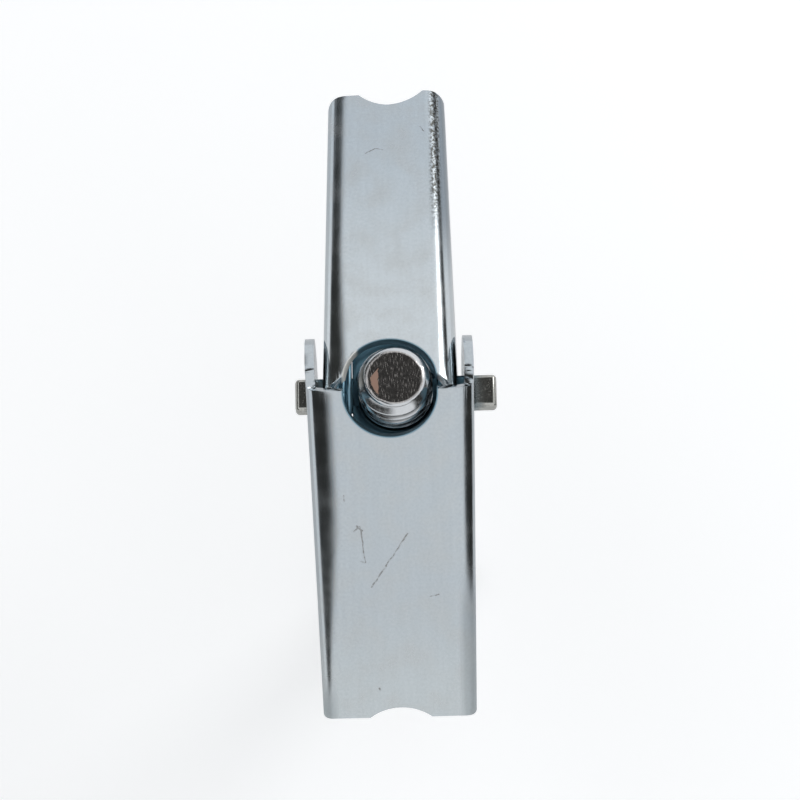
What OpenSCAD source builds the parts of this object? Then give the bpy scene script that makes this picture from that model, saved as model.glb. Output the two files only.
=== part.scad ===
// Spring toggle bolt with its two wings sprung open.
// Z runs along the screw from head to tip, and Z = 0 is the bearing face under the head.
// X runs along the hinge. The inner wing points to +Y and the outer wing to -Y.
// All sizes are in millimetres and all angles in degrees.

/* [Screw] */
// Diameter over the thread
screw_d = 6; // [5.9:0.02:6.04]
// Length from the bearing face to the tip
screw_length = 50; // [50:1:80]
// Pitch of the thread, which is drawn as rings
thread_pitch = 1; // [0.75:0.25:1.5]
// Depth of the thread
thread_depth = 0.6; // [0.3:0.05:0.65]
// Diameter of the flat on the tip, inside its 45 degree chamfer
tip_flat_d = 4.26; // [3:0.1:5]
// Diameter of the cheese head
head_d = 10; // [9:0.1:11]
// Height of the cheese head
head_h = 3.9; // [3:0.1:5]
// Radius on the outer edge of the head
head_round = 0.4; // [0.1:0.1:1]
// Width of the screwdriver slot
slot_w = 1.6; // [1:0.1:2]
// Depth of the screwdriver slot
slot_depth = 1.7; // [1:0.1:2.2]

/* [Nut] */
// Distance of the hinge line below the tip of the screw
nut_below_tip = 4.2; // [3.4:0.1:8]
// Width of the square hub
hub_w = 6.9; // [6.8:0.02:6.94]
// Depth of the hub below the hinge line
hub_below = 4; // [2:0.1:4.5]
// Radius on the upright edges of the hub
hub_round = 0.6; // [0.2:0.1:1]
// Radius of the round plate between the arms
plate_r = 4; // [3.5:0.1:4]
// Diameter of the hub's bore over the thread
bore_d = 6.1; // [6.06:0.02:6.2]
// Depth of the countersink at each end of the bore
countersink = 0.35; // [0:0.05:0.4]
// Distance across the ends of the two arms
arm_span = 16.1; // [15.4:0.1:18]
// Diameter of the round stock of the arms
arm_d = 2.75; // [2.4:0.05:2.8]
// Thickness of the arms after flattening
arm_t = 1.3; // [1:0.05:2]
// Radius on the corners of the arms
arm_round = 0.4; // [0.1:0.1:0.6]

/* [Wings] */
// Thickness of the sheet
sheet = 0.75; // [0.6:0.05:0.8]
// Distance of the web's outer face from the hinge line
web_h = 4.4; // [4.4:0.1:5]
// Length of a wing from the hinge line to its end
wing_length = 26; // [20:1:26]
// Outer radius of the bends
bend_r = 1.1; // [1:0.05:1.5]
// Depth of the flanges at the end of a wing
end_depth = 4; // [3:0.1:5]
// Radius on the free corner of a flange
flange_round = 1.2; // [0.5:0.1:1.5]
// Radius on the end corners of a wing
corner_round = 0.7; // [0.2:0.1:1]
// Diameter of the hinge holes
hinge_hole_d = 2.85; // [2.8:0.01:3]
// Side play of both wings on the arms
side_play = -0.4; // [-0.4:0.05:0]
// Radius of the notch that passes the screw
notch_r = 3.73; // [3.7:0.01:3.8]

/* [Outer wing] */
// Opening angle below the square position
outer_angle = 38; // [38:1:90]
// Half width at the hinge line
outer_half_w = 6.65; // [6.6:0.05:6.8]
// Half width at the end
outer_end_half_w = 6.2; // [6:0.05:6.6]
// Length of the web past the hinge line
outer_tail = 1.92; // [1.5:0.01:1.92]
// Depth of the notch from the hinge line
outer_notch = 2; // [1.9:0.05:2.4]
// Radius of the lobes round the hinge holes
outer_lobe_r = 4.65; // [4:0.05:5]
// Chord of the shallow notch in the end
outer_end_chord = 5; // [3:0.1:7]
// Depth of the shallow notch in the end
outer_end_notch = 0.85; // [0.5:0.05:1.2]

/* [Inner wing] */
// Opening angle below the square position
inner_angle = 11.2; // [11.2:0.1:90]
// Half width at the hinge line
inner_half_w = 5.33; // [5.3:0.01:5.4]
// Half width at the end
inner_end_half_w = 4.75; // [4.6:0.05:5]
// Length of the web past the hinge line
inner_tail = 1.32; // [1:0.01:1.32]
// How much shorter the web is beside the notch
inner_flare = 0.67; // [0:0.01:0.7]
// Depth of the notch from the hinge line
inner_notch = 2.55; // [2.55:0.01:2.7]
// Radius of the lobes round the hinge holes
inner_lobe_r = 3.4; // [2.8:0.05:3.5]
// Chord of the shallow notch in the end
inner_end_chord = 5.2; // [3:0.1:7]
// Depth of the shallow notch in the end
inner_end_notch = 1; // [0.5:0.05:1.2]

/* [Spring] */
// Diameter of the wire
wire_d = 0.45; // [0.3:0.01:0.46]
// Mean radius of the coil
coil_r = 2.35; // [2.1:0.05:2.5]
// Whole turns of the coil, besides the part turn between the legs
coil_turns = 2; // [1:1:2]
// Gap between the coil and the side of the hub
coil_gap = 0.03; // [0.02:0.01:0.05]
// Distance along a wing at which a leg bears on its web
leg_reach = 9.5; // [6:0.5:12]
// Distance between the two legs along the hinge
leg_offset = 1.02; // [0.95:0.01:1.1]

/* [Hidden] */
$fn = 96;

steel = "#c3c9cf";
light_zinc = "#ccd3da";
blue_zinc = "#5c7a8c";
spring_steel = "#9aa3aa";

hinge_z = screw_length - nut_below_tip;
cut = 1; // how far a cutting shape runs past what it cuts
crest_w = 0.14; // width of a crest of the thread
contact_gap = 0.01; // between a spring leg and the web that it bears on
tuck = 0.02; // how far a flange's free edge lies inside the tangent of its rounds
lobe_ledge = 0.1; // what the web's end keeps inside the face of a lobe
flare_outer_x = 4.9; // where the flare of the inner web's hinge end starts
flare_inner_x = 3.7; // where it ends, beside the notch

coil_sides = 10;
coil_steps = 26; // rings in one turn

// ---------- shared shapes ----------

// What a round of radius r takes off a square corner that points to +X and +Y
module corner_waste(r) {
    translate([-r, -r]) difference() {
        square(r + cut);
        circle(r);
    }
}

// A rectangle about the origin with round corners
module rounded_rectangle(length, width, r) {
    square([length, width - 2 * r], center = true);
    square([length - 2 * r, width], center = true);
    for (x = [-1, 1], y = [-1, 1])
        translate([x * (length / 2 - r), y * (width / 2 - r)]) circle(r);
}

// ---------- screw ----------

// A groove of the thread starts at z and is followed by a narrow crest
function groove(z) = [
    [screw_d / 2, z],
    [screw_d / 2 - thread_depth, z + (thread_pitch - crest_w) / 2],
    [screw_d / 2, z + thread_pitch - crest_w]
];

module screw_profile() {
    chamfer = (screw_d - tip_flat_d) / 2;
    grooves = floor((screw_length - chamfer - 2 * crest_w) / thread_pitch);
    thread_end = screw_length - chamfer - crest_w;
    polygon(concat(
        [[0, -cut], [screw_d / 2, -cut]],
        [for (i = [grooves : -1 : 1]) each groove(thread_end - i * thread_pitch + crest_w)],
        [[screw_d / 2, screw_length - chamfer], [tip_flat_d / 2, screw_length],
         [0, screw_length]]
    ));
    difference() {
        translate([0, -head_h]) square([head_d / 2, head_h]);
        translate([head_d / 2, -head_h]) mirror([0, 1]) corner_waste(head_round);
    }
}

module screw() {
    color(steel) difference() {
        rotate_extrude() screw_profile();
        translate([-head_d, -slot_w / 2, -head_h - cut])
            cube([2 * head_d, slot_w, slot_depth + cut]);
    }
}

// ---------- nut ----------

module hub_bore() {
    cone_h = countersink + cut;
    translate([0, 0, -hub_below - cut]) cylinder(d = bore_d, h = hub_below + arm_t + 2 * cut);
    translate([0, 0, arm_t / 2 - countersink])
        cylinder(d1 = bore_d, d2 = bore_d + 2 * cone_h, h = cone_h);
    translate([0, 0, -hub_below + countersink]) mirror([0, 0, 1])
        cylinder(d1 = bore_d, d2 = bore_d + 2 * cone_h, h = cone_h);
}

// The plate lies level with the arms and is cut flat beside the coil
module plate() {
    translate([0, 0, -arm_t / 2]) linear_extrude(arm_t) intersection() {
        circle(plate_r);
        square([hub_w, 3 * plate_r], center = true);
    }
}

// One flattened round bar makes both arms
module arms() {
    intersection() {
        translate([-arm_span / 2, 0, 0]) rotate([0, 90, 0]) cylinder(d = arm_d, h = arm_span);
        translate([0, 0, -arm_t / 2])
            linear_extrude(arm_t) rounded_rectangle(arm_span, arm_d, arm_round);
    }
}

module trunnion_nut() {
    color(blue_zinc) translate([0, 0, hinge_z]) difference() {
        union() {
            translate([0, 0, -hub_below])
                linear_extrude(hub_below + arm_t / 2) rounded_rectangle(hub_w, hub_w, hub_round);
            plate();
            arms();
        }
        hub_bore();
    }
}

// ---------- wings ----------
// A wing is drawn lying square to the screw: X along the hinge, Y from the hinge line to
// the end of the wing, Z outward through the web.

// Section across the flange, its bend and half of the web, seen along the wing
module bent_section(half_w) {
    translate([0, -2 * web_h]) square([sheet, 3 * web_h - bend_r]);
    translate([bend_r, web_h - bend_r]) intersection() {
        difference() {
            circle(bend_r);
            circle(bend_r - sheet);
        }
        translate([-bend_r, 0]) square(bend_r);
    }
    translate([bend_r, web_h - sheet]) square([half_w, sheet]);
}

// Side view of a flange: its straight free edge runs from the lobe to the end corner, a
// hair inside their common tangent
module flange_outline(tail, lobe_r) {
    corner = [wing_length - flange_round, web_h - end_depth + flange_round];
    edge_normal = atan2(corner.y, corner.x) - acos((lobe_r - flange_round) / norm(corner));
    outward = [cos(edge_normal), sin(edge_normal)];
    polygon([
        [0, 0], (lobe_r - tuck) * outward, corner + (flange_round - tuck) * outward, corner,
        [wing_length, corner.y], [wing_length, web_h], [-tail, web_h], [-tail, 0]
    ]);
    circle(lobe_r);
    translate(corner) circle(flange_round);
}

// The right-hand half of a wing, from the middle of its web to the flange and its lobe
module wing_half(half_w, taper, tail, lobe_r) {
    back = 2 * lobe_r;
    intersection() {
        translate([half_w, 0, 0]) rotate([0, 0, taper]) difference() {
            intersection() {
                translate([0, wing_length + cut, 0]) rotate([90, 0, 0])
                    linear_extrude(wing_length + back + cut) mirror([1, 0])
                        bent_section(half_w);
                translate([-2 * half_w, 0, 0]) rotate([90, 0, 90])
                    linear_extrude(2 * half_w) flange_outline(tail, lobe_r);
            }
            translate([-2 * half_w - sheet - lobe_ledge, -tail - back, -back])
                cube([2 * half_w, back, 2 * back]);
        }
        translate([0, -wing_length, -wing_length]) cube(2 * wing_length + cut);
    }
}

// Plan of what is cut from the web: the notch for the screw, the flare beside it and the
// shallow notch in the end
module web_cuts(tail, flare, notch, end_chord, end_notch) {
    end_r = (pow(end_chord / 2, 2) + pow(end_notch, 2)) / (2 * end_notch);
    translate([0, notch - notch_r]) circle(notch_r);
    polygon([
        [-flare_outer_x, -tail - cut], [-flare_outer_x, -tail], [-flare_inner_x, flare - tail],
        [flare_inner_x, flare - tail], [flare_outer_x, -tail], [flare_outer_x, -tail - cut]
    ]);
    translate([0, wing_length - end_notch + end_r]) circle(end_r);
}

module wing(half_w, end_half_w, tail, flare, notch, lobe_r, end_chord, end_notch) {
    taper = atan((half_w - end_half_w) / wing_length);
    difference() {
        for (side = [0, 1]) mirror([side, 0, 0]) wing_half(half_w, taper, tail, lobe_r);
        translate([0, 0, web_h - sheet - cut]) linear_extrude(sheet + 2 * cut)
            web_cuts(tail, flare, notch, end_chord, end_notch);
        for (side = [0, 1]) mirror([side, 0, 0])
            translate([end_half_w, wing_length, -web_h]) linear_extrude(3 * web_h)
                corner_waste(corner_round);
        translate([-2 * half_w, 0, 0]) rotate([0, 90, 0])
            cylinder(d = hinge_hole_d, h = 4 * half_w);
    }
}

module outer_wing() {
    color(light_zinc) translate([side_play, 0, hinge_z]) rotate([outer_angle, 0, 0])
        mirror([0, 1, 0])
            wing(outer_half_w, outer_end_half_w, outer_tail, 0, outer_notch,
                 outer_lobe_r, outer_end_chord, outer_end_notch);
}

module inner_wing() {
    color(light_zinc) translate([side_play, 0, hinge_z]) rotate([-inner_angle, 0, 0])
        wing(inner_half_w, inner_end_half_w, inner_tail, inner_flare, inner_notch,
             inner_lobe_r, inner_end_chord, inner_end_notch);
}

// ---------- spring ----------
// The wire comes in along the outer wing's leg, goes round the arm with falling angle and
// leaves along the inner wing's leg. Angles are about the hinge line, from +Y towards +Z.

// A point at a distance r from the hinge line
function about_hinge(x, r, angle) = [x, r * cos(angle), r * sin(angle)];

// Angle between a leg and the web that its far end bears on
leg_h = web_h - sheet - wire_d / 2 - contact_gap;
leg_rise = acos(coil_r / norm([leg_reach, leg_h])) - atan2(leg_reach, leg_h);

coil_start = 90 + outer_angle - leg_rise;
coil_end = 90 - inner_angle + leg_rise;
coil_sweep = coil_start - coil_end + 360 * coil_turns;

// X of the two legs: the inner wing's lies beside the hub and the outer wing's farthest out
inner_leg_x = -hub_w / 2 - coil_gap - wire_d / 2;
outer_leg_x = inner_leg_x - leg_offset;

coil_rings = ceil(coil_steps * coil_sweep / 360);

function coil_point(i) =
    about_hinge(outer_leg_x + (inner_leg_x - outer_leg_x) * i / coil_rings,
                coil_r, coil_start - coil_sweep * i / coil_rings);

wire_path = concat(
    [about_hinge(outer_leg_x, norm([leg_reach, leg_h]),
                 90 + outer_angle + atan2(leg_reach, leg_h))],
    [for (i = [0 : coil_rings]) coil_point(i)],
    [about_hinge(inner_leg_x, norm([leg_reach, leg_h]),
                 90 - inner_angle - atan2(leg_reach, leg_h))]
);

function unit(v) = v / norm(v);

// Direction of a path at its point i
function heading(path, i) =
    unit(path[min(i + 1, len(path) - 1)] - path[max(i - 1, 0)]);

// The points of one ring of the tube, in the plane square to the path
function ring(path, i, r, sides) =
    let (along = heading(path, i),
         up = unit(cross(along, [1, 0, 0])),
         across = cross(up, along))
    [for (k = [0 : sides - 1])
        path[i] + r * (cos(360 * k / sides) * across + sin(360 * k / sides) * up)];

// A closed tube of radius r along a path
module tube(path, r, sides) {
    rings = len(path);
    points = [for (i = [0 : rings - 1]) each ring(path, i, r, sides)];
    walls = [for (i = [0 : rings - 2], k = [0 : sides - 1])
        let (a = i * sides + k, b = i * sides + (k + 1) % sides)
        [a, b, b + sides, a + sides]];
    ends = [[for (k = [sides - 1 : -1 : 0]) k],
            [for (k = [0 : sides - 1]) (rings - 1) * sides + k]];
    polyhedron(points, concat(walls, ends), convexity = 10);
}

module wing_spring() {
    color(spring_steel) translate([0, 0, hinge_z]) tube(wire_path, wire_d / 2, coil_sides);
}

screw();
trunnion_nut();
outer_wing();
inner_wing();
wing_spring();
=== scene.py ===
# %% [markdown]
# # A spring toggle bolt
#
# This notebook dresses the CAD model of a spring toggle bolt: a machine screw, a nut with
# two flat arms, two wings folded from sheet steel that hinge on those arms, and a small
# torsion spring that presses the wings open. The CAD model holds the sizes and the
# joints. Here each part gets the edges, bends, thread and plating that catch the light.
#
# The first cell loads the model as a fixed frame.

# %% Load the frame
import math

import bmesh
import bpy
from mathutils import Matrix, Vector


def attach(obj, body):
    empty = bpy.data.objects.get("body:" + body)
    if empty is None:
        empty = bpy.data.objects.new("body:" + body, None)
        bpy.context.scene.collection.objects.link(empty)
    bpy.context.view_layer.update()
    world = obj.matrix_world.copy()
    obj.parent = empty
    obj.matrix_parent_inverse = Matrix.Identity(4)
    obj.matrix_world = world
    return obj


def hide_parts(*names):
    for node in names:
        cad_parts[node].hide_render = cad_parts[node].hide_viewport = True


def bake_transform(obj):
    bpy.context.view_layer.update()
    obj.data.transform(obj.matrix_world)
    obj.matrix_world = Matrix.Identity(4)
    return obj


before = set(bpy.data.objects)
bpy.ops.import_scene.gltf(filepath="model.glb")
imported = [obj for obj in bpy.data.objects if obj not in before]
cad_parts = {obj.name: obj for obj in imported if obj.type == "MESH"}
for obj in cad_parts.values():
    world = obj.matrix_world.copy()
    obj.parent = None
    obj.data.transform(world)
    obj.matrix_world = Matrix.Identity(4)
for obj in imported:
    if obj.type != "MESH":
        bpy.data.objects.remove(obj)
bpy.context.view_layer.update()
MM = 0.001

# %% [markdown]
# ## Sizes
#
# All shapes are worked out in millimetres, as on a workshop drawing, and scaled to metres
# when a piece is finished. Most of the values below are the CAD model's own, so that each
# new piece sits on the solid that it replaces. A few small ones are only here, such as the
# shift of the shallow end notches and the slant of the inner wing's end.
#
# Each wing has its own set of values. `angle` is how far it hangs below level, in degrees.
# `half_w` and `end_half_w` are half its width at the hinge and at the end. Behind the hinge
# line the web reaches back by `tail`, and by `flare` less beside the screw. `notch` is how
# far the screw's notch reaches past the hinge line, and `lobe_r` is the radius of the lobes
# round the hinge holes. The end has a shallow notch, `end_chord` wide and `end_notch` deep,
# that lies `notch_shift` to the right. Where a value has two entries, -1 is the left side
# and 1 is the right.

# %% Sizes of the parts in millimetres
HINGE_Z = 45.8
SHEET = 0.75
WEB_H = 4.4
WING_LENGTH = 26.0
SIDE_PLAY = -0.4
NOTCH_R = 3.73

OUTER = dict(
    angle=38.0, half_w=6.65, end_half_w=6.2, tail=1.92, flare=0.0, notch=2.0,
    lobe_r=4.65, end_chord=5.0, end_notch=0.85, notch_shift=0.1,
    end_round={-1: 0.3, 1: 0.3}, end_lift={-1: 0.0, 1: 0.0},
)
INNER = dict(
    angle=11.2, half_w=5.33, end_half_w=4.75, tail=1.32, flare=0.67, notch=2.55,
    lobe_r=3.4, end_chord=5.2, end_notch=1.0, notch_shift=0.4,
    end_round={-1: 0.7, 1: 0.4}, end_lift={-1: 0.0, 1: 0.35},
)

# Places closer than these count as one: the first for solid parts, the second for sheet
NEAR = 0.001
FINE = 0.0005
print("hinge line at", HINGE_Z, "mm above the bearing face")

# %% [markdown]
# ## Camera
#
# The bolt stands on its head and the camera looks steeply down on the tip of the screw,
# a little from the front, through a long lens. A long lens keeps the sides of the wings
# nearly parallel. The three directions of the camera are set out as vectors, because that
# says more plainly than angles what lies level in the picture.

# %% Place the camera
CAMERA_DISTANCE = 400.0
CAMERA_LENS = 225.0
SENSOR_WIDTH = 36.0
AIM_RIGHT = 0.32
AIM_DOWN = 0.40

right = Vector((1.0, -0.018, -0.026)).normalized()
up = Vector((0.028, 0.94, 0.33))
up = (up - up.dot(right) * right).normalized()
back = right.cross(up)
aim = Vector((0, 0, HINGE_Z)) + AIM_RIGHT * right - AIM_DOWN * up

camera_data = bpy.data.cameras.new("camera")
camera_data.lens = CAMERA_LENS
camera_data.sensor_width = SENSOR_WIDTH
camera_data.clip_start = 0.01
camera = bpy.data.objects.new("camera", camera_data)
camera.matrix_world = Matrix.Translation((aim + CAMERA_DISTANCE * back) * MM) @ Matrix(
    (right, up, back)
).transposed().to_4x4()
bpy.context.scene.collection.objects.link(camera)
bpy.context.scene.camera = camera
print("camera looks down at", round(math.degrees(math.asin(back.z)), 1), "degrees")

# %% [markdown]
# ## Helpers for meshes
#
# Every piece starts as a bmesh in millimetres. The helper scales it to metres, gives it a
# name and a body to ride on, and hides the CAD node that it stands for. Smooth shading with
# weighted normals keeps large flats flat, while the narrow bevels along their edges look
# round.

# %% Turn a bmesh into a finished piece
def finish_piece(bm, name, body, node=None, weighted=True, flats=()):
    for f in bm.faces:
        f.smooth = True
    for f in flats:
        f.smooth = False
    bmesh.ops.scale(bm, vec=(MM, MM, MM), verts=bm.verts)
    mesh = bpy.data.meshes.new(name)
    bm.to_mesh(mesh)
    bm.free()
    piece = bpy.data.objects.new(name, mesh)
    bpy.context.scene.collection.objects.link(piece)
    if weighted:
        normals = piece.modifiers.new("weighted normals", "WEIGHTED_NORMAL")
        normals.keep_sharp = True
        normals.weight = 50
    if body:
        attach(piece, body)
    if node:
        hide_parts(node)
    print(name, len(mesh.polygons), "faces")
    return piece


def sharp_edges(bm, angle):
    """Edges where two faces meet at more than an angle in degrees."""
    return [
        e for e in bm.edges
        if len(e.link_faces) == 2 and e.calc_face_angle(0) > math.radians(angle)
    ]


def bevel(bm, edges, width, segments):
    return bmesh.ops.bevel(
        bm, geom=edges, offset=width, offset_type="OFFSET", affect="EDGES",
        segments=segments, profile=0.5, material=-1, clamp_overlap=True,
    )


# %% [markdown]
# ## Screw
#
# The screw has a rolled M6 thread. A thread is one small profile carried round the axis
# while it climbs by one pitch for each turn. The spin operator makes one turn when it gets
# a step along the axis. Copies of that turn are stacked, doubling the stack each time,
# and merging the double points joins each turn to the next. Turns that pass the end are
# pressed onto the flat tip and the chamfer round it, which is a little domed.

# %% Roll the thread
PITCH = 1.0
CREST_R = 3.0
ROOT_R = 2.4
TIP_R = 2.13
SCREW_LENGTH = 50.0
THREAD_ROUND = 0.04
FLANK_TOP = 0.2
THREAD_STEPS = 64
SPARE_THREAD = 1.2


def thread_profile(bm):
    """One pitch of the thread, from root to root, as a chain of edges in the XZ plane."""
    rising = [
        (ROOT_R, 0.0), (ROOT_R + THREAD_ROUND, 0.07), (CREST_R - FLANK_TOP, 0.335),
        (CREST_R - THREAD_ROUND, 0.43), (CREST_R, 0.5),
    ]
    points = rising + [(radius, PITCH - z) for radius, z in reversed(rising[:-1])]
    first = bmesh.ops.create_vert(bm, co=(points[0][0], 0, points[0][1]))["vert"][0]
    for radius, z in points[1:]:
        grown = bmesh.ops.extrude_vert_indiv(bm, verts=[first])
        first = grown["verts"][0]
        first.co = (radius, 0, z)


screw_bm = bmesh.new()
thread_profile(screw_bm)
bmesh.ops.spin(
    screw_bm, geom=screw_bm.verts[:] + screw_bm.edges[:], cent=(0, 0, 0), axis=(0, 0, 1),
    dvec=(0, 0, PITCH / THREAD_STEPS), angle=math.tau, steps=THREAD_STEPS,
    use_merge=False, use_duplicate=False,
)
thread_turns = 1
while thread_turns < SCREW_LENGTH / PITCH + 2:
    copy = bmesh.ops.duplicate(
        screw_bm, geom=screw_bm.verts[:] + screw_bm.edges[:] + screw_bm.faces[:])["geom"]
    bmesh.ops.translate(screw_bm, vec=(0, 0, PITCH * thread_turns),
                        verts=[g for g in copy if isinstance(g, bmesh.types.BMVert)])
    thread_turns *= 2
too_high = [f for f in screw_bm.faces
            if min(v.co.z for v in f.verts) > SCREW_LENGTH + SPARE_THREAD * PITCH]
bmesh.ops.delete(screw_bm, geom=too_high, context="FACES")
bmesh.ops.translate(screw_bm, vec=(0, 0, -PITCH), verts=screw_bm.verts)
bmesh.ops.remove_doubles(screw_bm, verts=screw_bm.verts, dist=2 * NEAR)
print("thread:", len(screw_bm.verts), "points")

# %% Press the ends to shape and close them
CHAMFER = CREST_R - TIP_R
DOME = 0.6


def press_to_ends(vert):
    """Keeps a point of the thread inside the chamfer, the flat tip and the head's face."""
    radius = math.hypot(vert.co.x, vert.co.y)
    z = min(max(vert.co.z, 0.0), SCREW_LENGTH)
    share = min(1.0, (SCREW_LENGTH - z) / CHAMFER)
    dome = math.sqrt(1 - (1 - share) ** 2)
    limit = TIP_R + CHAMFER * (share + (dome - share) * DOME)
    if vert.co.z <= 0.0:
        limit = ROOT_R
    scale = min(1.0, limit / radius)
    if vert.co.z >= SCREW_LENGTH:
        scale = TIP_R / radius
    vert.co = (vert.co.x * scale, vert.co.y * scale, z)


for v in screw_bm.verts:
    press_to_ends(v)
bmesh.ops.remove_doubles(screw_bm, verts=screw_bm.verts, dist=NEAR)
bmesh.ops.dissolve_degenerate(screw_bm, edges=screw_bm.edges, dist=NEAR)
print("after pressing:", len(screw_bm.verts), "points,",
      sum(e.is_boundary for e in screw_bm.edges), "open edges")

# %% [markdown]
# The thread is open at both ends. The tip is a ring that is closed with one flat face. At
# the other end the core meets the head, a cheese head that is turned from the same bar:
# rings are extruded outward and down from the core's last ring, and the slot is pressed
# into its flat end.

# %% Close the tip and turn the head
HEAD_R = 5.0
HEAD_H = 3.9
HEAD_EDGE = 0.4
HEAD_EDGE_STEPS = 5
HEAD_TOP_EDGE = 0.12
LOOP_REACH = 0.02


def open_loop(bm, z):
    """The open edges that lie at a height."""
    return [e for e in bm.edges if e.is_boundary
            and all(abs(v.co.z - z) < LOOP_REACH for v in e.verts)]


def grow_ring(bm, edges, radius, z):
    """Extrudes a ring of edges and moves the new ring to a radius and a height."""
    grown = bmesh.ops.extrude_edge_only(bm, edges=edges)["geom"]
    for v in (g for g in grown if isinstance(g, bmesh.types.BMVert)):
        flat = Vector((v.co.x, v.co.y)).normalized() * radius
        v.co = (flat.x, flat.y, z)
    return [g for g in grown if isinstance(g, bmesh.types.BMEdge)]


bmesh.ops.contextual_create(screw_bm, geom=open_loop(screw_bm, SCREW_LENGTH))
ring = open_loop(screw_bm, 0.0)
for radius, z in ((HEAD_R - HEAD_TOP_EDGE, 0.0), (HEAD_R, -HEAD_TOP_EDGE),
                  (HEAD_R, -HEAD_H + HEAD_EDGE)):
    ring = grow_ring(screw_bm, ring, radius, z)
for step in range(1, HEAD_EDGE_STEPS + 1):
    turn = step / HEAD_EDGE_STEPS * math.pi / 2
    ring = grow_ring(screw_bm, ring, HEAD_R - HEAD_EDGE * (1 - math.cos(turn)),
                     -HEAD_H + HEAD_EDGE * (1 - math.sin(turn)))
cap = bmesh.ops.contextual_create(screw_bm, geom=ring)["faces"]
print("head closed with", len(cap), "flat face")

# %% Cut the slot
SLOT_W = 1.6
SLOT_DEPTH = 1.7
SLOT_FLOOR = -HEAD_H + SLOT_DEPTH
BELOW_THREAD = -0.5


def head_geometry(bm):
    """The faces, edges and points of the head, so that cuts leave the thread alone."""
    faces = [f for f in bm.faces if f.calc_center_median().z < BELOW_THREAD]
    edges = {e for f in faces for e in f.edges}
    verts = {v for f in faces for v in f.verts}
    return faces + list(edges) + list(verts)


for place, facing in (((0, SLOT_W / 2, 0), (0, 1, 0)), ((0, -SLOT_W / 2, 0), (0, 1, 0)),
                      ((0, 0, SLOT_FLOOR), (0, 0, 1))):
    bmesh.ops.bisect_plane(screw_bm, geom=head_geometry(screw_bm), plane_co=place,
                           plane_no=facing, dist=FINE)
slot_faces = [
    f for f in screw_bm.faces
    if f.calc_center_median().z < SLOT_FLOOR
    and abs(f.calc_center_median().y) < SLOT_W / 2 - 10 * NEAR
]
bmesh.ops.delete(screw_bm, geom=slot_faces, context="FACES")
rim = [e for e in screw_bm.edges if e.is_boundary]
floor_edges = [e for e in rim if all(abs(v.co.z - SLOT_FLOOR) < NEAR for v in e.verts)]
for side in (-1, 1):
    wall = [e for e in rim if all(abs(v.co.y - side * SLOT_W / 2) < NEAR for v in e.verts)]
    corners = [v for v in {v for e in wall for v in e.verts}
               if abs(v.co.z - SLOT_FLOOR) < NEAR]
    bottom = bmesh.ops.contextual_create(screw_bm, geom=corners)["edges"]
    floor_edges += bottom
    bmesh.ops.contextual_create(screw_bm, geom=wall + bottom)
bmesh.ops.contextual_create(screw_bm, geom=floor_edges)
bmesh.ops.recalc_face_normals(screw_bm, faces=screw_bm.faces)
print("open edges left:", sum(e.is_boundary for e in screw_bm.edges))

# %% Break the edge of the tip and finish the screw
TIP_EDGE = 0.16

tip_edges = [e for e in screw_bm.edges
             if all(abs(v.co.z - SCREW_LENGTH) < NEAR for v in e.verts)]
bevel(screw_bm, tip_edges, TIP_EDGE, 4)
screw = finish_piece(screw_bm, "machine_screw", "screw", "screw")

# %% [markdown]
# ## Nut
#
# The nut is a square block with a threaded bore, a round plate over it and one flattened
# bar on each side that serves as a hinge pin. Block and plate are made of rings that are
# extruded outward, down and back up through the bore, so that they are closed all round.
# The plate reaches a little further on the side of the inner wing, where the notch shows
# it. Each arm is a bar that was pressed flat, so its edges are well rounded.

# %% Make the block and the plate of the nut
HUB_HALF = 3.45
HUB_ROUND = 0.6
HUB_BELOW = 4.0
BORE_R = 3.05
BORE_STEPS = 128
MOUTH = 0.35
PLATE_EDGE = 0.15
PLATE_R = 4.0
PLATE_LIP = 0.4
ARM_T = 1.3
ARM_D = 2.75
ARM_END = 8.05


def on_square(direction, half, corner_r):
    """The point of a square with round corners that lies in a direction from its middle."""
    x, y = abs(direction.x), abs(direction.y)
    reach = half / max(x, y)
    flat = half - corner_r
    if x * reach > flat and y * reach > flat:
        along = (x + y) * flat
        reach = along + math.sqrt(along * along - 2 * flat * flat + corner_r * corner_r)
    return direction * reach


def on_plate(direction):
    """The point of the round plate, cut flat beside the coil, that lies in a direction."""
    radius = PLATE_R + (PLATE_LIP if direction.y > 0 else 0)
    return direction * min(radius, HUB_HALF / max(abs(direction.x), NEAR))


def on_block(direction):
    return on_square(direction, HUB_HALF, HUB_ROUND)


def on_rim(direction):
    """Block or plate, whichever reaches further."""
    return max(on_block(direction), on_plate(direction), key=lambda point: point.length)


nut_bm = bmesh.new()
bmesh.ops.create_circle(nut_bm, cap_ends=False, radius=BORE_R + MOUTH, segments=BORE_STEPS)
bmesh.ops.translate(nut_bm, vec=(0, 0, ARM_T / 2), verts=nut_bm.verts)
ring = nut_bm.edges[:]
for outline, z in ((on_rim, ARM_T / 2), (on_rim, -ARM_T / 2), (on_block, -ARM_T / 2),
                   (on_block, -HUB_BELOW)):
    grown = bmesh.ops.extrude_edge_only(nut_bm, edges=ring)["geom"]
    ring = [g for g in grown if isinstance(g, bmesh.types.BMEdge)]
    for v in {v for e in ring for v in e.verts}:
        corner = outline(Vector((v.co.x, v.co.y)).normalized())
        v.co = (corner.x, corner.y, z)
for radius, z in ((BORE_R + MOUTH, -HUB_BELOW), (BORE_R, -HUB_BELOW + MOUTH),
                  (BORE_R, ARM_T / 2 - MOUTH), (BORE_R + MOUTH, ARM_T / 2)):
    ring = grow_ring(nut_bm, ring, radius, z)
bmesh.ops.remove_doubles(nut_bm, verts=nut_bm.verts, dist=NEAR)
bmesh.ops.recalc_face_normals(nut_bm, faces=nut_bm.faces)
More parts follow.
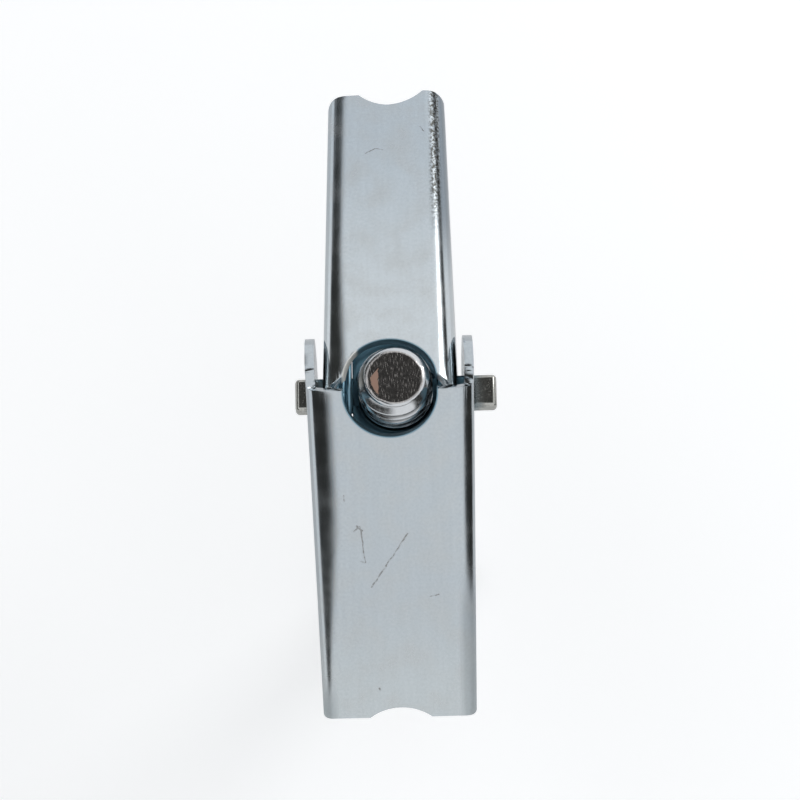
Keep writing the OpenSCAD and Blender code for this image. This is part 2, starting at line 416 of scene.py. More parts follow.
top_rim = [e for e in sharp_edges(nut_bm, 60)
           if all(v.co.z > ARM_T / 2 - NEAR and v.co.xy.length > BORE_R + MOUTH + NEAR
                  for v in e.verts)]
bevel(nut_bm, top_rim, PLATE_EDGE, 3)
print("block:", len(nut_bm.faces), "faces,", sum(e.is_boundary for e in nut_bm.edges), "open")

# %% Add the two arms
ARM_ROOT = 2.95
ARM_ROUND = 0.34

for side in (-1, 1):
    arm = bmesh.ops.create_cube(nut_bm, size=1.0)["verts"]
    bmesh.ops.scale(nut_bm, vec=(ARM_END - ARM_ROOT, ARM_D, ARM_T), verts=arm)
    bmesh.ops.translate(nut_bm, vec=(side * (ARM_END + ARM_ROOT) / 2, 0, 0), verts=arm)
    root_x = side * ARM_ROOT
    edges = {e for v in arm for e in v.link_edges
             if any(abs(w.co.x - root_x) > 0.1 for w in e.verts)}
    bevel(nut_bm, list(edges), ARM_ROUND, 4)
bmesh.ops.recalc_face_normals(nut_bm, faces=nut_bm.faces)
bmesh.ops.translate(nut_bm, vec=(0, 0, HINGE_Z), verts=nut_bm.verts)
nut = finish_piece(nut_bm, "nut_with_arms", "nut", "trunnion_nut")

# %% [markdown]
# ## Wings
#
# A wing is one blank of sheet steel with two bends. It could be carved from a solid, but
# then the bends and the cut edges would have to be faked. It is made here as the factory
# makes it: half the outline is drawn flat, filled and mirrored, cut into narrow strips
# where it will bend, folded, and only then given its thickness. The outline is drawn with
# three pen strokes: a line, an arc that spin carries round a centre, and a closing line.
#
# In the flat blank X runs across the wing, with 0 in the middle of the web, and Y runs
# from the hinge line to the end of the wing.

# %% Pen strokes for the outline of a blank
def pen_down(bm, x, y):
    return bmesh.ops.create_vert(bm, co=(x, y, 0))["vert"][0]


def line_to(bm, vert, x, y):
    new = bmesh.ops.extrude_vert_indiv(bm, verts=[vert])["verts"][0]
    new.co = (x, y, 0)
    return new


def arc_round(bm, vert, centre, angle, steps):
    out = bmesh.ops.spin(
        bm, geom=[vert], cent=(centre[0], centre[1], 0), axis=(0, 0, 1),
        angle=math.radians(angle), steps=steps, use_merge=False, use_duplicate=False)
    return next(g for g in out["geom_last"] if isinstance(g, bmesh.types.BMVert))


def angle_at(centre, point):
    """The direction of a point seen from a centre, in degrees."""
    return math.degrees(math.atan2(point[1] - centre[1], point[0] - centre[0]))


print("pens ready: line_to and arc_round")


# %% [markdown]
# The bend has two parts. A shallow lead-in with a large radius comes first, widest near
# the hinge, where the press drew the sheet round, and a tight bend follows. A point of the
# blank is folded by how far it lies past the start of the bend, so the flange comes out
# flat.

# %% The shape of a bend
UNFOLD_REACH = 20.0
UNFOLD_HALVINGS = 40


def smooth(share):
    """Eases a share of 0 to 1 in and out."""
    return share * share * (3 - 2 * share)


class Bend:
    """The fold between web and flange at a distance s along the wing."""

    def __init__(self, spec, side, s):
        low, high = spec["draw"][side]
        share = max(0.0, min(1.0, (1 - s / WING_LENGTH - low) / (high - low)))
        near, far, self.tight_r, lead = spec["bend"][side]
        self.lead = math.radians(lead)
        self.lead_r = far + (near - far) * smooth(share)
        self.turn = math.radians(90 - spec["splay"][side])
        self.half_w = spec["half_w"] + (spec["end_half_w"] - spec["half_w"]) * s / WING_LENGTH
        self.length = self.lead_r * self.lead + self.tight_r * (self.turn - self.lead)
        self.start = self.half_w - self.at(self.length)[0]

    def at(self, t):
        """Distance across and down from the start of the bend, at t along the sheet."""
        lead_length = self.lead_r * self.lead
        turn = t / self.lead_r if t < lead_length \
            else self.lead + (t - lead_length) / self.tight_r
        turn = min(turn, self.turn)
        first = min(turn, self.lead)
        across = (self.lead_r * math.sin(first)
                  + self.tight_r * (math.sin(turn) - math.sin(first)))
        down = (self.lead_r * (1 - math.cos(first))
                + self.tight_r * (math.cos(first) - math.cos(turn)))
        rest = max(0.0, t - self.length)
        return across + rest * math.cos(self.turn), down + rest * math.sin(self.turn)

    def unfold(self, depth):
        """X in the flat blank of a point that lies a depth below the web's face."""
        low, high = 0.0, self.length + UNFOLD_REACH
        for _ in range(UNFOLD_HALVINGS):
            middle = (low + high) / 2
            low, high = (middle, high) if self.at(middle)[1] < depth else (low, middle)
        return self.start + low


# For each side, left -1 and right 1: the radius of the lead-in at the hinge and at the
# end, the tight radius, and the degrees that the lead-in turns. Splay is how many degrees
# the flange stands short of square. Draw is the part of the wing, counted from its end,
# over which the lead-in grows.
OUTER.update(bend={-1: (4.8, 0.4, 0.9, 22), 1: (3.2, 0.8, 0.9, 30)},
             splay={-1: 0.5, 1: -2.0}, draw={-1: (0.0, 0.75), 1: (0.0, 0.75)})
INNER.update(bend={-1: (3.8, 2.2, 1.2, 30), 1: (2.0, 1.6, 1.7, 30)},
             splay={-1: 2.0, 1: 1.0}, draw={-1: (0.5, 1.0), 1: (0.5, 1.0)})
print("bend on the outer wing's left:", OUTER["bend"][-1])

# %% [markdown]
# The outline of half a blank goes round once: along the end of the wing with its shallow
# notch, down the corner to the free edge of the flange, back to the lobe round the hinge
# hole, over to the web and along the notch that passes the screw.

# %% Draw the end of a blank
FLANGE_ROUND = 1.2
END_DEPTH = 4.0
ROUND_DEPTH = 1.4
LIFT_WIDTH = 3.2
END_STEPS = 12
ROUND_STEPS = 8


def flat_point(spec, side, s, height):
    """Where a point of the folded wing, at a height over the hinge line, lies in the blank."""
    return Bend(spec, side, s).unfold(WEB_H - height), s


def draw_end(bm, spec, side):
    """The end of the wing, with its shallow notch and the round into the flange."""
    chord, dip, shift = spec["end_chord"] / 2, spec["end_notch"], side * spec["notch_shift"]
    end_r = (chord * chord + dip * dip) / (2 * dip)
    centre = (shift, WING_LENGTH - dip + end_r)
    middle = (0, centre[1] - math.sqrt(end_r ** 2 - shift ** 2))
    pen = arc_round(bm, pen_down(bm, *middle), centre, angle_at(
        centre, (shift + chord, WING_LENGTH)) - angle_at(centre, middle), END_STEPS)
    for i in range(1, ROUND_STEPS + 1):
        share = i / ROUND_STEPS
        pen = line_to(bm, pen, *flat_point(
            spec, side, WING_LENGTH - spec["end_round"][side] * smooth(share),
            WEB_H - ROUND_DEPTH * share))
    return pen


def draw_corner(bm, pen, spec, side):
    """The corner at the free edge of the flange. Also gives the turn where the lobe starts."""
    flange_end = WING_LENGTH - spec["end_round"][side]
    corner = Vector((flange_end - FLANGE_ROUND, WEB_H - END_DEPTH + FLANGE_ROUND))
    edge_turn = (math.atan2(corner.y, corner.x)
                 - math.acos((spec["lobe_r"] - FLANGE_ROUND) / corner.length))
    pen = line_to(bm, pen, *flat_point(spec, side, flange_end, corner.y))
    centre = flat_point(spec, side, *corner)
    return arc_round(bm, pen, centre, math.degrees(edge_turn), ROUND_STEPS), edge_turn


def slant_end(bm, lift):
    """Pushes the end out towards this side, more with each millimetre from the middle."""
    for v in bm.verts:
        if v.co.y > WING_LENGTH / 2:
            v.co.y += lift * min(1.0, v.co.x / LIFT_WIDTH)


print("flange corner radius:", FLANGE_ROUND)

# %% [markdown]
# The lobe is an arc round the hinge hole. The large lobe of the outer wing would run past
# the web, so it turns over a rounded shoulder into a ledge, and a small inner round leads
# from there to the web. All three arcs are round on the folded flange. In the flat blank
# the bend stretches them a little, so each of their points is unfolded by itself.

# %% Draw the lobe and the hinge end of a blank
LOBE_LEDGE = 0.85
NECK_ROUND = 0.5
SHOULDER_R = 1.0
FLARE_OUTER_X = 4.9
HOLE_R = 1.44
LOBE_STEPS = 48
NOTCH_STEPS = 28
HOLE_STEPS = 40


def flange_arc(bm, pen, spec, side, centre, radius, turns, steps, first=0):
    """Draws an arc that is round on the folded flange."""
    start, end = turns
    for i in range(first, steps + 1):
        turn = start + (end - start) * i / steps
        pen = line_to(bm, pen, *flat_point(spec, side, centre[0] + radius * math.cos(turn),
                                           centre[1] + radius * math.sin(turn)))
    return pen


def draw_lobe(bm, pen, spec, side, edge_turn):
    """The lobe round the hinge hole, up to the web, with a ledge where it is large."""
    lobe_r, tail = spec["lobe_r"], spec["tail"]
    neck = min(WEB_H - LOBE_LEDGE, math.sqrt(lobe_r ** 2 - tail ** 2))
    has_ledge = neck == WEB_H - LOBE_LEDGE
    shoulder = (-math.sqrt((lobe_r - SHOULDER_R) ** 2 - (neck - SHOULDER_R) ** 2),
                neck - SHOULDER_R) if has_ledge else (-tail, neck)
    last_turn = math.atan2(shoulder[1], shoulder[0]) - math.tau
    pen = flange_arc(bm, pen, spec, side, (0, 0), lobe_r, (edge_turn, last_turn), LOBE_STEPS)
    if has_ledge:
        pen = flange_arc(bm, pen, spec, side, shoulder, SHOULDER_R,
                         (last_turn, -1.5 * math.pi), ROUND_STEPS, first=1)
        pen = flange_arc(bm, pen, spec, side, (-tail - NECK_ROUND, neck + NECK_ROUND),
                         NECK_ROUND, (-math.pi / 2, 0.0), ROUND_STEPS)
    return pen


def draw_hinge_end(bm, pen, spec):
    """The hinge end of the web and the notch that passes the screw."""
    tail = spec["tail"]
    if spec["flare"]:
        pen = line_to(bm, pen, FLARE_OUTER_X, -tail)
        tail -= spec["flare"]
    notch_centre = (0, spec["notch"] - NOTCH_R)
    mouth_x = math.sqrt(NOTCH_R ** 2 - (-tail - notch_centre[1]) ** 2)
    pen = line_to(bm, pen, mouth_x, -tail)
    arc_round(bm, pen, notch_centre, 90 - angle_at(notch_centre, (mouth_x, -tail)),
              NOTCH_STEPS)


def half_outline(bm, spec, side):
    """Draws the closed outline and the hinge hole of half a blank, on the +X side."""
    pen = draw_end(bm, spec, side)
    pen, edge_turn = draw_corner(bm, pen, spec, side)
    slant_end(bm, spec["end_lift"][side])
    pen = draw_lobe(bm, pen, spec, side, edge_turn)
    draw_hinge_end(bm, pen, spec)
    hole_x, hole_y = flat_point(spec, side, 0, 0)
    bmesh.ops.create_circle(bm, cap_ends=False, radius=HOLE_R, segments=HOLE_STEPS,
                            matrix=Matrix.Translation((hole_x, hole_y, 0)))


print("hinge hole radius:", HOLE_R)

# %% [markdown]
# The outline is filled with triangles, which respects the hinge hole, and the triangles
# are merged again where that leaves no face with a hole. Then straight cuts
# divide the bend into strips that follow the taper, and cross cuts divide the wing along
# its length, so that the bend can change its radius on the way.

# %% Fill the blank, cut the bend into strips and fold it
BEND_STRIPS = 26
CROSS_CUTS = 14
FLAT_ANGLE = math.radians(0.02)


def cut_bend(bm, spec, side):
    """Cuts the bend into strips along the wing, and the wing into lengths."""
    geom = bm.verts[:] + bm.edges[:] + bm.faces[:]
    near, far = Bend(spec, side, 0), Bend(spec, side, WING_LENGTH)
    taper = near.half_w - far.half_w
    across = Vector((WING_LENGTH, taper, 0)).normalized()
    for i in range(BEND_STRIPS + 1):
        x = near.start + near.length * i / BEND_STRIPS
        geom = bmesh.ops.bisect_plane(bm, geom=geom, plane_co=(x, 0, 0), plane_no=across,
                                      dist=FINE)["geom"]
    for i in range(CROSS_CUTS):
        s = WING_LENGTH * (i + 0.5) / CROSS_CUTS
        geom = bmesh.ops.bisect_plane(bm, geom=geom, plane_co=(0, s, 0), plane_no=(0, 1, 0),
                                      dist=FINE)["geom"]


def fold(verts, spec, side):
    """Folds the flange down by how far each point lies past the start of the bend."""
    for v in verts:
        bend = Bend(spec, side, v.co.y)
        past = v.co.x - bend.start
        if past > 0:
            across, down = bend.at(past)
            v.co = (bend.start + across, v.co.y, -down)


def wing_sheet(spec):
    """The folded sheet of a wing, still without thickness, its two halves joined."""
    bm = bmesh.new()
    for side in (1, -1):
        half = bmesh.new()
        half_outline(half, spec, side)
        bmesh.ops.contextual_create(
            half, geom=[v for v in half.verts if abs(v.co.x) < FINE / 5])
        bmesh.ops.remove_doubles(half, verts=half.verts, dist=FINE)
        bmesh.ops.triangle_fill(half, use_beauty=True, use_dissolve=False,
                                edges=half.edges[:])
        bmesh.ops.dissolve_limit(half, angle_limit=FLAT_ANGLE, verts=half.verts,
                                 edges=half.edges, use_dissolve_boundaries=False)
        cut_bend(half, spec, side)
        fold(half.verts, spec, side)
        if side < 0:
            bmesh.ops.scale(half, vec=(-1, 1, 1), verts=half.verts)
        carrier = bpy.data.meshes.new("half")
        half.to_mesh(carrier)
        half.free()
        bm.from_mesh(carrier)
        bpy.data.meshes.remove(carrier)
    bmesh.ops.remove_doubles(bm, verts=bm.verts, dist=FINE)
    bmesh.ops.dissolve_limit(bm, angle_limit=FLAT_ANGLE, verts=bm.verts,
                             edges=bm.edges, use_dissolve_boundaries=False)
    bmesh.ops.recalc_face_normals(bm, faces=bm.faces)
    top = max(bm.faces, key=lambda f: f.calc_area() * abs(f.normal.z))
    if top.normal.z < 0:
        bmesh.ops.reverse_faces(bm, faces=bm.faces)
    return bm


print("strips in a bend:", BEND_STRIPS)


# %% Give the sheet its thickness and hang the wings
RIM = 0.2
RIM_ANGLE = 50


def make_wing(name, spec, body, node, direction):
    """One wing on its hinge: direction is 1 towards +Y and -1 towards -Y."""
    bm = wing_sheet(spec)
    bmesh.ops.translate(bm, vec=(0, 0, WEB_H), verts=bm.verts)
    bmesh.ops.solidify(bm, geom=bm.faces[:], thickness=SHEET)
    bmesh.ops.recalc_face_normals(bm, faces=bm.faces)
    bevel(bm, sharp_edges(bm, RIM_ANGLE), RIM, 3)
    flats = [f for f in bm.faces if any(
        all(abs(v.co.z - z) < NEAR / 5 for v in f.verts) for z in (WEB_H, WEB_H - SHEET))]
    print(name, "faces in the flat of the web:", len(flats))
    if direction < 0:
        bmesh.ops.scale(bm, vec=(1, -1, 1), verts=bm.verts)
        bmesh.ops.reverse_faces(bm, faces=bm.faces)
    tilt = math.radians(spec["angle"])
    bmesh.ops.rotate(bm, cent=(0, 0, 0), verts=bm.verts,
                     matrix=Matrix.Rotation(-direction * tilt, 3, "X"))
    bmesh.ops.translate(bm, vec=(SIDE_PLAY, 0, HINGE_Z), verts=bm.verts)
    print(name, "open edges:", sum(e.is_boundary for e in bm.edges))
    return finish_piece(bm, name, body, node, flats=flats)


outer_wing = make_wing("outer_wing_sheet", OUTER, "outer_wing", "outer_wing", -1)
inner_wing = make_wing("inner_wing_sheet", INNER, "inner_wing", "inner_wing", 1)

# %% [markdown]
# ## Spring
#
# The spring is one wire: a leg along the inside of each wing and a coil of a little over
# two turns round the arm between them. When a wing folds, its leg turns with it and the
# coil winds up. So the spring is made as two pieces that meet in the middle of the coil.

# %% Wind the two halves of the spring
WIRE_D = 0.5
WIRE_SIDES = 14
COIL_R = 2.5
COIL_TURNS = 2
COIL_STEPS = 48
COIL_CLIMB = 1.02
LEG_REACH = 9.5
LEG_GAP = 0.01
INNER_LEG_X = -3.68
OUTER_LEG_X = INNER_LEG_X - COIL_CLIMB
MIDDLE_X = (INNER_LEG_X + OUTER_LEG_X) / 2

leg_h = WEB_H - SHEET - WIRE_D / 2 - LEG_GAP
leg_far = math.hypot(LEG_REACH, leg_h)
leg_rise = math.degrees(math.acos(COIL_R / leg_far) - math.atan2(LEG_REACH, leg_h))
leg_length = math.sqrt(leg_far ** 2 - COIL_R ** 2)
coil_start = 90 + OUTER["angle"] - leg_rise
coil_end = 90 - INNER["angle"] + leg_rise
half_sweep = (coil_start - coil_end + 360 * COIL_TURNS) / 2


def half_spring(name, leg_x, angle, sense):
    """A leg and half of the coil. The coil starts at an angle and turns in one sense."""
    bm = bmesh.new()
    at = math.radians(angle)
    radial = Vector((0, math.cos(at), math.sin(at)))
    tangent = Vector((0, -math.sin(at), math.cos(at))) * -sense
    bmesh.ops.create_circle(bm, cap_ends=True, radius=WIRE_D / 2, segments=WIRE_SIDES)
    facing = Matrix((Vector((1, 0, 0)), radial, tangent)).transposed().to_4x4()
    bmesh.ops.transform(bm, matrix=facing, verts=bm.verts)
    bmesh.ops.translate(bm, vec=Vector((leg_x, 0, HINGE_Z)) + radial * COIL_R, verts=bm.verts)
    steps = round(COIL_STEPS * half_sweep / 360)
    bmesh.ops.spin(
        bm, geom=bm.faces[:], cent=(0, 0, HINGE_Z), axis=(1, 0, 0),
        dvec=((MIDDLE_X - leg_x) / steps, 0, 0), angle=math.radians(sense * half_sweep),
        steps=steps, use_merge=False, use_duplicate=False)
    ends = [f for f in bm.faces if len(f.verts) == WIRE_SIDES]
    first = min(ends, key=lambda f: abs(f.calc_center_median().x - leg_x))
    leg = bmesh.ops.extrude_face_region(bm, geom=[first])["geom"]
    far = [g for g in leg if isinstance(g, bmesh.types.BMVert)]
    bmesh.ops.translate(bm, vec=tangent * leg_length, verts=far)
    bmesh.ops.delete(bm, geom=[f for f in [first] if f.is_valid], context="FACES_ONLY")
    bmesh.ops.recalc_face_normals(bm, faces=bm.faces)
    print(name, "open edges:", sum(e.is_boundary for e in bm.edges))
    piece = finish_piece(bm, name, None, "wing_spring", weighted=False)
    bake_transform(piece)
    return piece


outer_spring = half_spring("spring_outer_half", OUTER_LEG_X, coil_start, -1)
inner_spring = half_spring("spring_inner_half", INNER_LEG_X, coil_end, 1)

# %% [markdown]
# ## Plating
#
# All parts are steel with a thin layer of zinc. A metal shows little of its own and much
# of what surrounds it, so the roughness and the small dents matter more than the colour.

# %% Helpers for node trees
def nodes_of(material):
    material.use_nodes = True
    return material.node_tree.nodes, material.node_tree.links


def paint(piece, material):
    piece.data.materials.clear()
    piece.data.materials.append(material)


class Plating:
    """A zinc plating under way: its nodes, and places on the part in millimetres."""

    def __init__(self, name, turn=0.0, shift=(0, 0, 0)):
        self.material = bpy.data.materials.new(name)
        self.nodes, self.links = nodes_of(self.material)
        self.shader = self.nodes["Principled BSDF"]
        self.shader.inputs["Metallic"].default_value = 1.0
        place = self.nodes.new("ShaderNodeTexCoord")
        mapping = self.nodes.new("ShaderNodeMapping")
        mapping.inputs["Scale"].default_value = (1 / MM, 1 / MM, 1 / MM)
        mapping.inputs["Rotation"].default_value = (turn, 0, 0)
        mapping.inputs["Location"].default_value = shift
        self.links.new(place.outputs["Object"], mapping.inputs["Vector"])
        self.place = mapping.outputs["Vector"]

    def feed(self, socket, value):
        if isinstance(value, bpy.types.NodeSocket):
            self.links.new(value, socket)
        else:
            socket.default_value = value

    def math(self, operation, a, b=0.0, clamp=False):
        node = self.nodes.new("ShaderNodeMath")
        node.operation = operation
        node.use_clamp = clamp
        self.feed(node.inputs[0], a)
        self.feed(node.inputs[1], b)
        return node.outputs["Value"]

    def times(self, *factors):
        product = factors[0]
        for factor in factors[1:]:
            product = self.math("MULTIPLY", product, factor)
        return product

    def plus(self, *parts):
        total = parts[0]
        for part in parts[1:]:
            total = self.math("ADD", total, part)
        return total

    def minus(self, a, b):
        return self.math("SUBTRACT", a, b)

    def vector(self, operation, a, b, result="Vector"):
        node = self.nodes.new("ShaderNodeVectorMath")
        node.operation = operation
        self.feed(node.inputs[0], a)
        self.feed(node.inputs["Scale" if operation == "SCALE" else 1], b)
        return node.outputs[result]

    def step(self, value, low, high, to_low=0.0, to_high=1.0):
        """A soft step of a value between two limits."""
        node = self.nodes.new("ShaderNodeMapRange")
        node.interpolation_type = "SMOOTHSTEP"
        for key, number in (("Value", value), ("From Min", low), ("From Max", high),
                            ("To Min", to_low), ("To Max", to_high)):
            self.feed(node.inputs[key], number)
        return node.outputs["Result"]

    def fall(self, value, low, high):
        """A soft step from 1 down to 0."""
        return self.step(value, low, high, 1.0, 0.0)

    def length(self, vector):
        return self.vector("LENGTH", vector, (0, 0, 0), "Value")

    def noise(self, size, detail=4.0, stretch=(1, 1, 1)):
        """Noise from 0 to 1 whose blotches are about one size, in millimetres."""
        node = self.nodes.new("ShaderNodeTexNoise")
        node.inputs["Scale"].default_value = 1.0 / size
        node.inputs["Detail"].default_value = detail
        self.feed(node.inputs["Vector"], self.vector("MULTIPLY", self.place, stretch))
        return node.outputs["Fac"]

    def mix(self, share, a, b):
        node = self.nodes.new("ShaderNodeMix")
        node.data_type = "RGBA"
        self.feed(node.inputs["Factor"], share)
        for socket, value in ((node.inputs["A"], a), (node.inputs["B"], b)):
            self.feed(socket, (*value, 1) if isinstance(value, tuple) else value)
        return node.outputs["Result"]

    def axis(self, letter):
        node = self.nodes.new("ShaderNodeSeparateXYZ")
        self.links.new(self.place, node.inputs["Vector"])
        return node.outputs[letter]

    def finish(self, colour, roughness, height, relief):
        """Feeds the shader. The height runs over 0 to 1 and the relief is in millimetres."""
        self.feed(self.shader.inputs["Base Color"], colour)
        self.feed(self.shader.inputs["Roughness"], roughness)
        bump = self.nodes.new("ShaderNodeBump")
        bump.inputs["Distance"].default_value = relief * MM
        self.feed(bump.inputs["Height"], height)
        self.links.new(bump.outputs["Normal"], self.shader.inputs["Normal"])
        return self.material


print("helpers for plating ready")

# %% [markdown]
# The screw has the brightest plating. Its side was rolled and is a little matt, and its
# tip was cropped flat, which left fine lines across it and a thin brown patch.

# %% Plate the screw
SIDE_ZINC = (0.70, 0.71, 0.72), (0.62, 0.64, 0.66)
CROPPED_STEEL = (0.40, 0.385, 0.38), (0.60, 0.565, 0.54)
BROWN_PATCH = (0.55, 0.36, 0.28)
GROOVE_SHADE = (0.12, 0.12, 0.12)
PATCH_ROUGHNESS = 0.42
PATCH_SLOPE = 1.2


def brown_patch(plating, tip, radius):
    """The patch at the left of the tip. Noise makes two of its edges ragged."""
    x, y = plating.axis("X"), plating.axis("Y")
    ragged = plating.times(plating.noise(0.3, 5.0), 0.3)
    right_edge = plating.fall(plating.plus(x, ragged), -1.2, -1.08)
    outer_edge = plating.fall(plating.plus(radius, ragged), 2.02, 2.14)
    upper_edge = plating.fall(plating.minus(y, plating.times(x, PATCH_SLOPE)), 2.3, 2.5)
    return plating.times(tip, right_edge, outer_edge, upper_edge)


def thread_grooves(plating, off_tip, radius):
    """How deep a point lies in the thread, whose grooves hold less light than the crests."""
    chamfer = plating.minus(SCREW_LENGTH + TIP_R, plating.axis("Z"))
    depth = plating.minus(plating.math("MINIMUM", CREST_R, chamfer), radius)
    above_head = plating.step(plating.axis("Z"), 0.02, 0.1)
    return plating.times(above_head, off_tip, plating.step(depth, 0.04, 0.3))


plating = Plating("bright_zinc_plating")
radius = plating.length(plating.vector("MULTIPLY", plating.place, (1, 1, 0)))
tip = plating.step(plating.axis("Z"), SCREW_LENGTH - 0.06, SCREW_LENGTH - 0.02)
off_tip = plating.minus(1.0, tip)
lines = plating.noise(0.45, 8.0, (5, 1, 1))
patch = brown_patch(plating, tip, radius)
groove = thread_grooves(plating, off_tip, radius)

colour = plating.mix(plating.noise(0.8), *SIDE_ZINC)
cropped = plating.mix(plating.step(lines, 0.4, 0.7), *CROPPED_STEEL)
colour = plating.mix(tip, colour, cropped)
colour = plating.mix(patch, colour, BROWN_PATCH)
colour = plating.mix(plating.times(groove, 0.9), colour, GROOVE_SHADE)

side_rough = plating.step(plating.noise(0.3), 0.3, 0.7, 0.16, 0.26)
tip_rough = plating.step(lines, 0.45, 0.8, 0.18, 0.36)
rough = plating.plus(plating.times(side_rough, off_tip), plating.times(tip_rough, tip))
rough = plating.math("MAXIMUM", rough, plating.times(patch, PATCH_ROUGHNESS))
paint(screw, plating.finish(colour, rough, plating.times(lines, tip), 0.0012))
print("screw plated")

# %% [markdown]
# The nut came out of a blue bath. In the middle, where the wings and the screw shade it,
# the blue is painted dark as painted shade; on the ends of the arms it is rubbed off to grey
# steel.

# %% Plate the nut
SHADED_BLUE_ZINC = (0.15, 0.30, 0.39), (0.22, 0.38, 0.47)
RUBBED_STEEL = (0.50, 0.50, 0.47), (0.40, 0.39, 0.36)

plating = Plating("blue_zinc_plating")
rubbed = plating.step(plating.math("ABSOLUTE", plating.axis("X")), 5.2, 7.0)
grain = plating.noise(0.16, 5.0)
# Blue zinc, painted dark in the middle as painted shade
shaded_blue = plating.mix(plating.noise(1.2), *SHADED_BLUE_ZINC)
grey = plating.mix(plating.step(grain, 0.35, 0.7), *RUBBED_STEEL)
colour = plating.mix(rubbed, shaded_blue, grey)
rough = plating.plus(plating.step(rubbed, 0.0, 1.0, 0.40, 0.2),
                     plating.step(grain, 0.45, 0.8, 0.0, 0.12))
paint(nut, plating.finish(colour, rough, grain, 0.002))
print("nut plated")

# %% [markdown]
# The wings show the most plating. Sheet steel comes from the mill with faint streaks along
# its length, the bath leaves soft blotches, and knocks leave thin dark scratches. The
# scratches are drawn in the wing's own directions: across, and along from the hinge. Each
# is a start, an end and a width.

# %% Scratches on a wing
SCRATCH_WOBBLE = (0.22, 0.12, 0)


def scratch(plating, place, start, end, width):
    """How much a point belongs to a straight scratch, from 0 to 1."""
    start, run = Vector((*start, 0)), Vector((*end, 0)) - Vector((*start, 0))
    from_start = plating.vector("SUBTRACT", place, tuple(start))
    along = plating.vector("DOT_PRODUCT", from_start, tuple(run / run.length_squared),
                           "Value")
    along = plating.math("ADD", along, 0.0, clamp=True)
    nearest = plating.vector("SCALE", tuple(run), along)
    off = plating.vector("DISTANCE", from_start, nearest, "Value")
    return plating.fall(off, width * 0.4, width)


def scratch_marks(plating, direction, scratches):
    """All scratches of a wing. Noise makes them waver, and breaks them up."""
    waver = plating.vector("SCALE", SCRATCH_WOBBLE, plating.noise(0.7, 3.0))
    place = plating.vector("MULTIPLY", plating.place, (1, direction, 0))
    place = plating.vector("ADD", place, waver)
    place = plating.vector("SUBTRACT", place, tuple(w / 2 for w in SCRATCH_WOBBLE))
    marks = 0.0
    for start, end, width in scratches:
        marks = plating.math("MAXIMUM", marks, scratch(plating, place, start, end, width))
    return plating.times(marks, plating.step(plating.noise(0.25), 0.35, 0.65, 0.15, 0.8))


OUTER_SCRATCHES = [
    ((-2.72, 9.5), (-2.38, 12.6), 0.075), ((-3.25, 9.95), (-2.72, 9.5), 0.08),
    ((-2.95, 9.5), (-2.6, 9.85), 0.12), ((-2.75, 12.5), (-2.38, 12.6), 0.07),
    ((-1.94, 14.7), (1.08, 10.2), 0.09), ((-3.92, 6.9), (-3.9, 7.3), 0.09),
    ((-1.6, 23.45), (-1.56, 23.55), 0.1), ((2.7, 15.6), (3.4, 15.45), 0.07),
]
INNER_SCRATCHES = [
    ((-1.7, 20.3), (-0.9, 20.75), 0.055), ((-0.9, 20.75), (-0.3, 20.6), 0.05),
    ((2.7, 22.8), (3.1, 22.3), 0.055),
]
print(len(OUTER_SCRATCHES) + len(INNER_SCRATCHES), "scratches")

# %% [markdown]
# The colour of a wing changes a little from the hinge to the end. The cut face round the
# notch carries a painted highlight on one side, and painted shade with a painted blue
# reflection of the nut on the other. The right bend of the inner wing carries a painted
# dark reflection along its line, broken into grains, and painted shade further out. The
# ends of the outer wing's flanges are matt. These could be painted as a picture, but a
# few soft steps along the wing's own axes follow the bend and stay sharp from close by.

# %% Tones, painted light and painted shade of a wing
BLOTCH_TONE = (0.63, 0.635, 0.62)
# The notch's cut face: painted shade with a painted blue reflection of the nut, and a painted
# highlight
CUT_PAINTED_BLUE_SHADE, CUT_PAINTED_HIGHLIGHT = (0.20, 0.34, 0.42), (0.9, 0.9, 0.86)
CUT_FACE_EDGE = (NOTCH_R + 0.02, NOTCH_R + 0.16)
# Painted dark reflection in grains along the inner wing's right bend, and painted shade beyond
# it
DARK_REFLECTION_TONE, PAINTED_SHADE_TONE = (0.10, 0.10, 0.09), (0.20, 0.24, 0.28)
DARK_REFLECTION_X = 3.95
WEB_UNDERSIDE = WEB_H - SHEET

# Tones at the hinge and at the end, and the stretch of the wing where they change
OUTER["shade"] = ((0.525, 0.57, 0.602), (0.59, 0.634, 0.65), 14.0, 26.0)
INNER["shade"] = ((0.65, 0.695, 0.72), (0.525, 0.585, 0.635), 3.0, 24.0)
# Where the painted highlight on the notch's cut face begins: a soft step over X
OUTER["pale_edge"], INNER["pale_edge"] = (3.9, 4.3), (-2.4, -2.7)
# Where the painted dark reflection and the painted shade begin: soft steps over the distance
# from the hinge
INNER["soot"], INNER["dull"] = (11.0, 17.5), (7.0, 16.0)
# The matt ends of flanges: a side, and a soft step over the distance from the hinge
OUTER["matt_end"], INNER["matt_end"] = ((1, 12.0, 18.0), (-1, 22.0, 25.5)), ()


def sheet_tone(plating, spec, along, blotches):
    """The tone from the hinge to the end, with the zinc's blotches, streaks and flecks."""
    near, far, low, high = spec["shade"]
    tone = plating.mix(plating.step(along, low, high), near, far)
    tone = plating.mix(plating.step(blotches, 0.35, 0.75, 0.0, 0.3), tone, BLOTCH_TONE)
    streaks = plating.noise(0.5, 5.0, (1, 0.12, 1))
    flecks = plating.plus(plating.step(streaks, 0.3, 0.7, 0.985, 1.01),
                          plating.step(plating.noise(0.22, 4.0), 0.3, 0.7, -0.025, 0.025))
    return plating.vector("SCALE", tone, flecks)


def notch_cut_face(plating, spec, direction):
    """How much a point belongs to the cut face that runs round the notch."""
    centre = (0, direction * (spec["notch"] - NOTCH_R), 0)
    from_centre = plating.vector("SUBTRACT", plating.place, centre)
    flat = plating.vector("MULTIPLY", from_centre, (1, 1, 0))
    return plating.fall(plating.length(flat), *CUT_FACE_EDGE)


